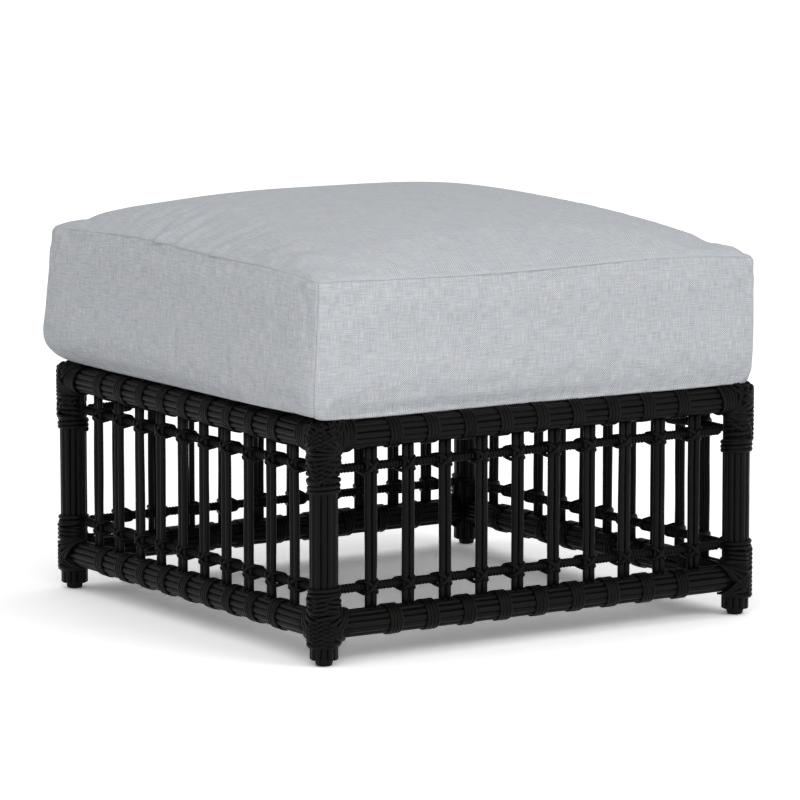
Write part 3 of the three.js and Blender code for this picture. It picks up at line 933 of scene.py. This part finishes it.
def side_panel(u, v, s):
    low = edge_height(u, v)
    height = seam_height(u, v) - low
    tuck = np.clip(1 - s * height / TUCK_HEIGHT, 0, 1) ** TUCK_POWER
    inset = FRONT_TUCK * front_share(u, v) * tuck - SIDE_BULGE * np.sin(np.pi * s**BULGE_SHIFT)
    inset = inset + rounded(s * height, corner_blend(BOTTOM_ROUNDING, u, v))
    inset = inset + rounded((1 - s) * height, SEAM_ROUNDING) * SEAM_TUCK / SEAM_ROUNDING
    slide = TOP_SLIDE + (BOTTOM_SLIDE - TOP_SLIDE) * (1 - s)
    return points_of(*plan(u, v, inset, slide, s), low + height * s)


def bottom_panel(u, v):
    inset = corner_blend(BOTTOM_ROUNDING, u, v) + FRONT_TUCK * front_share(u, v)
    return points_of(*plan(u, v, inset, BOTTOM_SLIDE), edge_height(u, v))


def cells(grid):
    """The four corners of each cell of a grid, counter-clockwise."""
    return np.stack([grid[:-1, :-1], grid[:-1, 1:], grid[1:, 1:], grid[1:, :-1]], 2)


def border(grid):
    """A grid's border, counter-clockwise from its front left corner."""
    return np.concatenate([grid[0, :-1], grid[:-1, -1], grid[-1, :0:-1], grid[:0:-1, 0]])


class CushionGrid:
    """The points of the cushion's six panels, how they join, and their distances from the seams."""

    def __init__(self, places, heights):
        self.places, self.heights = places, heights
        n, m = len(places), len(heights)
        self.n, self.m, self.loop = n, m, 4 * (n - 1)
        self.top = np.arange(n * n).reshape(n, n)
        self.bottom = self.top + n * n
        between = 2 * n * n + np.arange((m - 2) * self.loop).reshape(m - 2, self.loop)
        self.sides = np.vstack([border(self.bottom), between, border(self.top)])
        self.u, self.v = np.meshgrid(places, places)
        self.loop_u, self.loop_v = border(self.u), border(self.v)
        side_height = CUSHION_SEAM - CUSHION_LOW
        self.inward = (1 - np.maximum(np.abs(self.u), np.abs(self.v))) * CUSHION_HALF
        self.to_corner = (1 - np.minimum(np.abs(self.loop_u), np.abs(self.loop_v))) * CUSHION_HALF
        self.above = heights[:, None] * side_height
        self.below = (1 - heights[:, None]) * side_height

    def points(self):
        side = side_panel(self.loop_u, self.loop_v, self.heights[1:-1, None])
        parts = [top_panel(self.u, self.v), bottom_panel(self.u, self.v), side]
        return np.concatenate([part.reshape(-1, 3) for part in parts])

    def quads(self):
        over, under = cells(self.top), cells(self.bottom)[..., [0, 3, 2, 1]]
        side = quads_between(self.sides[:-1], self.sides[1:])
        return np.concatenate([part.reshape(-1, 4) for part in (over, under, side)])

    def weave(self):
        """Flat cloth coordinates of every face's corners, each panel cut apart from the others."""
        across = self.places * CUSHION_HALF
        flat = cells(np.stack(np.meshgrid(across, across), -1))
        under = flat[:, :, [0, 3, 2, 1]] + BOTTOM_CLOTH
        panels = 2 * CUSHION_HALF * np.arange(4)[:, None]
        start, end = (panels + across[:-1]).ravel(), (panels + across[1:]).ravel()
        low, high = self.above[:-1, 0], self.above[1:, 0]
        side = np.empty((self.m - 1, self.loop, 4, 2))
        side[..., 0] = np.stack([start, end, end, start], -1) + SIDE_CLOTH
        side[..., 1] = np.stack([low, low, high, high], -1)[:, None]
        return np.concatenate([part.reshape(-1, 2) for part in (flat, under, side)])

    def spread(self, top, sides=0):
        """Values of the top and the sides given to their points. The bottom gets 0."""
        shape = top.shape[2:]
        values = np.zeros((2 * self.n**2 + (self.m - 2) * self.loop, *shape))
        values[self.sides] = sides
        values[self.top] = top
        return values


def blurred(grid, wraps):
    """A grid of vectors smoothed along both ways. Sides wrap round in their second one."""
    for _ in range(SWELL_PASSES):
        padded = np.pad(grid, ((1, 1), (0, 0), (0, 0)), mode="edge")
        grid = (padded[:-2] + 2 * padded[1:-1] + padded[2:]) / 4
        padded = np.pad(grid, ((0, 0), (1, 1), (0, 0)), mode="wrap" if wraps else "edge")
        grid = (padded[:, :-2] + 2 * padded[:, 1:-1] + padded[:, 2:]) / 4
    return grid


def billowed(grid):
    """How far the panels' points move when the cushion swells as cloth between its seams."""
    points = grid.points()
    sack = mesh_object("cushion_sack", points, [grid.quads()], body=None)
    seams = [grid.sides[:, :: grid.n - 1].ravel(), border(grid.top), grid.bottom.ravel()]
    group = sack.vertex_groups.new(name="held")
    group.add(np.unique(np.concatenate(seams)).tolist(), 1.0, "REPLACE")
    cloth = sack.modifiers.new("cloth", "CLOTH")
    for name, value in CLOTH_SETTINGS.items():
        setattr(cloth.settings, name, value)
    cloth.settings.effector_weights.gravity = 0
    cloth.collision_settings.use_collision = False
    for step in range(CLOTH_FRAMES):
        bpy.context.scene.frame_set(step + 1)
    evaluated = sack.evaluated_get(bpy.context.evaluated_depsgraph_get()).to_mesh()
    moved = np.empty(len(points) * 3, np.float32)
    evaluated.vertices.foreach_get("co", moved)
    mesh = sack.data
    bpy.data.objects.remove(sack)
    bpy.data.meshes.remove(mesh)
    bpy.context.scene.frame_set(1)
    return moved.reshape(-1, 3) - points


def capped(moves, cap):
    length = np.linalg.norm(moves, axis=1, keepdims=True)
    return moves * np.minimum(1, cap / np.maximum(length, 1e-9))


def puckers(fine):
    """The creases of the billowed cloth, without its swelling, read onto the fine grid."""
    coarse = CushionGrid(np.linspace(-1, 1, COARSE_ACROSS), np.linspace(0, 1, COARSE_UP))
    moves = capped(billowed(coarse), SWELL_CAP)
    top, side = moves[coarse.top], moves[coarse.sides]
    top = top - blurred(top, False)
    side = side - blurred(side, True)
    across = (fine.places + 1) / 2 * (coarse.n - 1)
    around = np.concatenate([across[:-1] + (coarse.n - 1) * number for number in range(4)])
    top = stretched(stretched(top, across, 0), across, 1)
    side = np.concatenate([side, side[:, :1]], 1)
    side = stretched(stretched(side, fine.heights * (coarse.m - 1), 0), around, 1)
    return capped(fine.spread(top, side), PUCKER_CAP)


def named_puckers(grid):
    """The puckers that can be told apart in the top panel."""
    flat = np.stack([grid.u, grid.v], -1) * CUSHION_HALF
    total = 0
    for *start, end_u, end_v, rise in PUCKERS:
        start = np.array(start) * CUSHION_HALF
        run = np.array([end_u, end_v]) * CUSHION_HALF - start
        share = np.clip(((flat - start) @ run) / (run @ run), 0, 1)
        distance = np.linalg.norm(flat - start - share[..., None] * run, axis=-1)
        total = total + rise * (1 - PUCKER_FADE * share) * bell(distance, PUCKER_WIDTH)
    return grid.spread(total)


def away_from_zip(points):
    """0 on the zip and 1 clear of it."""
    x, y, z = points.T
    beside = np.maximum(np.abs(x) - ZIP_HALF, np.abs(z - ZIP_HEIGHT) - ZIP_WIDTH)
    clear = np.clip(beside / ZIP_CLEARANCE, 0, 1)
    return np.where(y > CUSHION_HALF * 0.9, clear, 1)[:, None]


def normals_of(points, quads):
    corners = points[quads]
    faces = np.cross(corners[:, 2] - corners[:, 0], corners[:, 3] - corners[:, 1])
    normals = np.zeros_like(points)
    for corner in range(4):
        np.add.at(normals, quads[:, corner], faces)
    return unit(normals + 1e-15)


def crease(distance):
    return -CREASE_DEPTH * bell(distance, CREASE_WIDTH)


def welt(distance):
    return WELT_RISE * bell(distance - WELT_PLACE, WELT_WIDTH)


def seam_relief(grid):
    """How far each point stands out beside the seams and above the lower edge."""
    top_depth, side_depth = (1 - (1 - LEFT_CREASE) * side_share(u) for u in (grid.u, grid.loop_u))
    hem_rise = HEM_RISE + FRONT_HEM_RISE * front_share(grid.loop_u, grid.loop_v)
    hem = hem_rise * bell(grid.above - HEM_PLACE, HEM_WIDTH)
    hollow = HOLLOW_DEPTH * bell(grid.above - HOLLOW_PLACE, HOLLOW_WIDTH)
    corner = CORNER_CREASE * crease(grid.to_corner) + CORNER_WELT_SHARE * welt(grid.to_corner)
    side = side_depth * crease(grid.below) + SIDE_WELT_SHARE * welt(grid.below) + hem - hollow
    side = side + corner * (grid.below > CORNER_SEAM_START)
    return grid.spread(top_depth * crease(grid.inward) + welt(grid.inward), side)


def painted_shade_and_highlight(grid):
    """The share of its light that is painted out of the cloth's colour as shade along the seams, below 0
    where a highlight is painted on the fold of the front.
    """
    top_shade, side_shade = (STITCH_SHADE + FRONT_STITCH_SHADE * side_share(v) for v in (grid.v, grid.loop_v))
    # A highlight painted along the front's lower fold
    fold = HEM_PAINTED_HIGHLIGHT * front_share(grid.loop_u, grid.loop_v) * bell(grid.above - HEM_PLACE, HEM_WIDTH)
    corner = CORNER_SHADE * bell(grid.to_corner, STITCH_WIDTH)
    side = np.maximum(side_shade * bell(grid.below, STITCH_WIDTH), corner) - fold
    return grid.spread(top_shade * bell(grid.inward, STITCH_WIDTH), side)


def narrow_ends(length):
    """Places from 0 to 1 along a length, close together at both ends for the seams there."""
    near = SEAM_ROWS[-1]
    inner = np.linspace(near, length - near, int((length - 2 * near) / CLOTH_STEP) + 1)
    return np.concatenate([SEAM_ROWS[:-1], inner, length - SEAM_ROWS[-2::-1]]) / length


def fabric_material():
    """A plain weave, in which the thread on top at each crossing gives its tone and its tint."""
    grey = (0.55, 0.57, 0.6)
    material, shading, shader = new_material("cushion_fabric", grey, roughness=0.92, specular=0.15)
    maths = shading.maths
    flat = shading.attribute("weave")["Vector"]
    place = shading.node("SeparateXYZ", {"Vector": flat}).outputs
    warp, weft = (maths("SINE", maths("MULTIPLY", place[way], math.pi / THREAD)) for way in "XY")
    over = maths("MULTIPLY", warp, weft)
    gaps = maths("MULTIPLY", maths("ABSOLUTE", warp), maths("ABSOLUTE", weft))
    on_side = maths("GREATER_THAN", place["X"], 1)
    contrast = maths("MULTIPLY_ADD", on_side, 1 - TOP_CONTRAST, TOP_CONTRAST)

    def noise(across, along, detail, output="Fac"):
        """Noise with its scales across and along the cloth, both for each metre."""
        return shading.stretched_noise(flat, (across, along, 1), detail)[output]

    threads = noise(1 / THREAD, 70, 0, "Color"), noise(60, 1 / THREAD, 0, "Color")
    on_top = maths("MULTIPLY_ADD", over, 1.5, 0.5)
    dye = shading.node("SeparateColor", {"Color": shading.mix(on_top, *threads)}).outputs
    slubs = maths("ADD", noise(420, 30, 1), noise(26, 420, 1))
    bands = maths("POWER", noise(32, 9, 2), 2.0)
    parts = (  # each with its share in the tone and the mean that is taken off it
        (maths("MULTIPLY", maths("SUBTRACT", dye["Red"], 0.5), contrast), THREAD_CONTRAST, 0),
        (slubs, 0.16, 1),
        (noise(22, 22, 2), 0.08, 0.5),
        (maths("MULTIPLY", over, bands), WEAVE_CONTRAST, 0),
        # Painted shade of the threads' rounding: lighter in the middle of each crossing, darker between the
        # threads
        (gaps, 0.15, 0.4),
    )
    tone = 0.5 - sum(share * mean for _, share, mean in parts)
    for part, share, _ in parts:
        tone = maths("MULTIPLY_ADD", part, share, tone)
    # The cloth's colour keeps the light that is left by the painted seam shade, and gains the painted
    # highlight of the front's lower fold
    left = maths("SUBTRACT", 1.0, shading.attribute("painted_shade_and_highlight")["Fac"])
    warm = maths("MULTIPLY", maths("SUBTRACT", dye["Green"], 0.5), THREAD_TINT)
    tints = {
        "Red": maths("MULTIPLY", left, maths("ADD", 1.0, warm)),
        "Green": left,
        "Blue": maths("MULTIPLY", left, maths("SUBTRACT", 1.0, warm)),
    }
    tint = shading.node("CombineColor", tints).outputs["Color"]
    colour = shading.mix(1, shading.ramp(tone, CLOTH_DARK, CLOTH_LIGHT), tint, "MULTIPLY")
    shading.give(shader["Base Color"], colour)
    height = maths("MULTIPLY_ADD", over, 0.3, gaps)
    shading.give(shader["Normal"], shading.bump(height, strength=0.5, distance=0.3 * MM))
    return material


def cushion(material):
    grid = CushionGrid(2 * narrow_ends(2 * CUSHION_HALF) - 1, narrow_ends(CUSHION_SEAM - CUSHION_LOW))
    points, quads = grid.points(), grid.quads()
    points = points + puckers(grid) * away_from_zip(points)
    relief = seam_relief(grid) + named_puckers(grid)
    points = points + normals_of(points, quads) * relief[:, None]
    cover = mesh_object("cushion_cover", points, [quads], body="cushion")
    attribute(cover, "weave", "FLOAT2", "CORNER", grid.weave())
    # Painted seam shade and painted hem highlight, which the fabric takes off and adds to its colour
    attribute(cover, "painted_shade_and_highlight", "FLOAT", "POINT", painted_shade_and_highlight(grid))
    dressed(cover, material, "cushion_fabric", "cushion_bottom_panel", "cushion_boxing", "cushion_top_panel")


def foam_core(material):
    """The pad inside the cover, a little smaller all round."""
    clearance = 5 * MM
    grid = CushionGrid(np.linspace(-1, 1, 31), np.linspace(0, 1, 10))
    points, quads = grid.points(), grid.quads()
    points = points - normals_of(points, quads) * clearance
    foam = mesh_object("foam_core", points, [quads], body="cushion")
    dressed(foam, material, "foam", "cushion_foam")


# Zip

COIL_PITCH = 1.8 * MM
COIL_END = 4 * MM  # from the tape's end
COIL_RISE = 0.9 * MM  # off the cover's face
COIL_DEPTH = 0.7 * MM
COIL_HEIGHT = 2.2 * MM
COIL_WIRE = 0.45 * MM  # radius
TAPE_EDGE = ((-1.0, -0.6), (-0.96, 1.0), (-0.82, 1.2), (-0.74, 0.5))  # place as a share, rise in mm
TAPE_HALF_SHARE = 0.6
SLIDER_RISE = 1.6 * MM


def zip_face(x):
    """How far back the cover's face lies along the zip."""
    u = np.clip((x - SLIDE[0] * TOP_SLIDE) / CUSHION_HALF, -1, 1)
    return side_panel(u, np.ones_like(u), np.full_like(u, 0.5))[:, 1]


def zip_tape(fabric, coil):
    """A tape let into the back of the boxing, and the coil along its middle."""
    rises = [*TAPE_EDGE, *((-place, rise) for place, rise in reversed(TAPE_EDGE))]
    section = np.array([(place * ZIP_WIDTH * TAPE_HALF_SHARE, rise * MM) for place, rise in rises])
    places = np.linspace(-ZIP_HALF, ZIP_HALF, 61)
    tape = Strands()
    tape.add(points_of(places, zip_face(places), ZIP_HEIGHT), (0.0, 1.0, 0.0), section)
    tape.piece("zip_tape_cloth", 0, fabric, "zip_tape", body="cushion", slot="cushion_fabric")
    turns = int(2 * ZIP_HALF / COIL_PITCH)
    angle = np.linspace(0, TURN * turns, 10 * turns)
    along = np.linspace(COIL_END - ZIP_HALF, ZIP_HALF - COIL_END, len(angle))
    outward = points_of(0, np.sin(angle), np.cos(angle))
    path = points_of(along, zip_face(along) + COIL_RISE, ZIP_HEIGHT)
    teeth = Strands()
    section = oval(2 * COIL_WIRE, COIL_WIRE, COIL_WIRE, 5)
    teeth.add(path + outward * (0, COIL_DEPTH, COIL_HEIGHT), outward, section)
    teeth.piece("zip_coil_teeth", 0, coil, body="cushion", slot="zip_coil")


def blocks(name, parts, body, material, slot, *nodes):
    """One mesh of boxes with rounded edges, each given by its centre, its sizes and its bevel."""
    build = bmesh.new()
    for centre, size, bevel in parts:
        corners = set(bmesh.ops.create_cube(build, size=1)["verts"])
        bmesh.ops.scale(build, vec=size, verts=list(corners))
        bmesh.ops.translate(build, vec=centre, verts=list(corners))
        edges = [edge for edge in build.edges if edge.verts[0] in corners]
        bmesh.ops.bevel(build, geom=edges, offset=bevel, segments=3, profile=0.5, affect="EDGES")
    mesh = bpy.data.meshes.new(name)
    build.to_mesh(mesh)
    build.free()
    mesh.shade_smooth()
    piece = added(name, mesh)
    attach(piece, body)
    dressed(piece, material, slot, *nodes)


def zip_slider(material):
    """A slider on the coil with its pull hanging from a loop."""
    x = middle("zip_slider").x
    length = sizes("zip_slider").x
    face = float(zip_face(np.array([x]))[0]) + SLIDER_RISE
    parts = (
        ((x, face + 0.6 * MM, ZIP_HEIGHT), (length, 2.2 * MM, 8 * MM), 0.9 * MM),
        ((x, face + 2.0 * MM, ZIP_HEIGHT - 1 * MM), (2 * MM, 1.6 * MM, 6 * MM), 0.5 * MM),
        ((x, face + 2.4 * MM, ZIP_HEIGHT - 12 * MM), (5 * MM, 1.2 * MM, 18 * MM), 0.5 * MM),
    )
    blocks("zip_slider_pull", parts, "zip_slider", material, "zip_coil", "zip_slider")


# Deck, tubes and glides

def deck(material):
    slat_count = 8
    edge = 1.2 * MM
    for number in range(1, slat_count + 1):
        node = f"deck_slat_{number}"
        part = (middle(node), sizes(node), edge)
        blocks(f"slat_{number}", [part], "frame", material, "powder_coated_tube", node)


def glide(quarter, material):
    """A turned foot with a rounded rim and a flat top against the post."""
    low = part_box("glide_front_left")[0].z
    foot = sizes("glide_front_left").x / 2
    profile = np.array([
        (foot - 3.2 * MM, low),
        (foot - 2.2 * MM, low + 0.3 * MM),
        (foot - 1.2 * MM, low + 1.4 * MM),
        (foot - 0.4 * MM, low + 5.2 * MM),
        (foot - 0.5 * MM, POST_FOOT - 0.8 * MM),
        (foot - 1.2 * MM, POST_FOOT - 0.1 * MM),
    ])
    radius, height = profile.T
    section = oval(2, 1, 1, 40) * radius[:, None, None]
    points, faces = sweep(points_of(-POST, -POST, height), FORWARD, section, bulge_share=0)
    name = CORNERS[quarter]
    piece = mesh_object(f"foot_{name}", turned(points, quarter), faces)
    dressed(piece, material, "glide_nylon", f"glide_{name}")


def coated(nodes, material):
    for node in nodes:
        for slot in bpy.data.objects[node].material_slots:
            slot.material = material


# Stage

FLOOR_HALF = 12
FLOOR_GREY, FLOOR_SEEN = 0.72, 1.6  # as it lights the object, and as the camera sees it
SKY_STRENGTH = 0.76  # at the horizon
ZENITH_SHARE = 0.9
SKY_SEEN = 0.8  # as the camera sees it
LIGHTS = (  # name, place, target, size and power
    ("key", (1.7, -3.6, 2.3), (0, 0, 0.25), 2.4, 32),
    ("fill", (-1.1, -1.7, 0.9), (-0.25, -0.3, 0.35), 1.4, 8),
)


def studio_floor():
    """A pale floor that the camera sees as white where no shadow falls."""
    corners = FLOOR_HALF * np.array([(-1, -1, 0), (1, -1, 0), (1, 1, 0), (-1, 1, 0)])
    floor = mesh_object("floor", corners, [np.array([[0, 1, 2, 3]])], body=None)
    material = bpy.data.materials.new("floor")
    shading = Shading(material)
    rays = shading.node("LightPath").outputs
    seen = shading.maths("MAXIMUM", rays["Is Camera Ray"], rays["Is Glossy Ray"])
    tint = shading.mix(seen, (*[FLOOR_GREY] * 3, 1), (*[FLOOR_SEEN] * 3, 1))
    diffuse = shading.node("BsdfDiffuse", {"Color": tint})
    shading.give(shading.nodes["Material Output"].inputs["Surface"], diffuse.outputs[0])
    shading.nodes.remove(shading.nodes["Principled BSDF"])
    floor.data.materials.append(material)


def world_light():
    """A sky a little darker overhead, which the camera sees as plain and pale."""
    world = bpy.data.worlds.new("studio")
    bpy.context.scene.world = world
    shading = Shading(world)
    sky = shading.nodes["Background"]
    place = shading.node("TexCoord").outputs["Generated"]
    rise = shading.node("SeparateXYZ", {"Vector": place}).outputs["Z"]
    climb = shading.maths("MULTIPLY", rise, rise)
    shading.give(sky.inputs["Strength"], SKY_STRENGTH)
    shading.give(sky.inputs["Color"], shading.ramp(climb, (1, 1, 1), [ZENITH_SHARE] * 3))
    pale = shading.node("Background", {"Color": (*[SKY_SEEN] * 3, 1), "Strength": 1})
    seen = shading.node("LightPath").outputs["Is Camera Ray"]
    mix = shading.node("MixShader", {"Fac": seen, 1: sky.outputs[0], 2: pale.outputs[0]})
    shading.give(shading.nodes["World Output"].inputs["Surface"], mix.outputs[0])


def aimed(name, data, place, target):
    item = added(name, data)
    item.location = place
    item.rotation_euler = (Vector(target) - Vector(place)).to_track_quat("-Z", "Y").to_euler()
    return item


def area_light(name, place, target, size, power):
    data = bpy.data.lights.new(name, "AREA")
    data.shape = "DISK"
    data.size = size
    data.energy = power
    aimed(name, data, place, target)


def camera():
    data = bpy.data.cameras.new("camera")
    data.sensor_width = 36
    data.lens = CAMERA_LENS
    data.clip_start, data.clip_end = 0.1, 100
    bpy.context.scene.camera = aimed("camera", data, CAMERA_PLACE, CAMERA_TARGET)


# The scene

camera()
studio_floor()
world_light()
for light in LIGHTS:
    area_light(*light)
bpy.context.scene.view_settings.view_transform = "Standard"

wicker = wicker_material()
for quarter in range(4):
    for level in ("top", "bottom"):
        rail_bundle(level, quarter, wicker)
        rail_bands(level, quarter, wicker)
    post_bundle(quarter, wicker)
    spindles(quarter, wicker)
    cross_rods(quarter, wicker)
    lashings(quarter, wicker)
    for level in ("upper", "lower"):
        corner_wrap(level, quarter, wicker)

# Each with its colour, its lighter colour, roughness, grain and its depth
metal = grained_material("powder_coat", (0.012, 0.012, 0.013), (0.02, 0.02, 0.021), 0.5, 900, 0.1 * MM)
nylon = grained_material("glide_nylon", (0.004,) * 3, (0.007,) * 3, 0.55, 500, 0.1 * MM, specular=0.1)
coil = grained_material("zip_coil", (0.20, 0.205, 0.215), (0.26, 0.265, 0.275), 0.45, 700, 0.05 * MM)
slider = grained_material("zip_metal", (0.3, 0.3, 0.31), (0.4, 0.4, 0.41), 0.35, 400, 0.05 * MM, 1.0)
foam = grained_material("foam", (0.62, 0.56, 0.40), (0.72, 0.66, 0.50), 0.9, 260, 0.8 * MM)
fabric = fabric_material()

coated([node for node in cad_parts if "_tube_" in node or "crossbar" in node], metal)
deck(metal)
for quarter in range(4):
    glide(quarter, nylon)
cushion(fabric)
foam_core(foam)
zip_tape(fabric, coil)
zip_slider(slider)
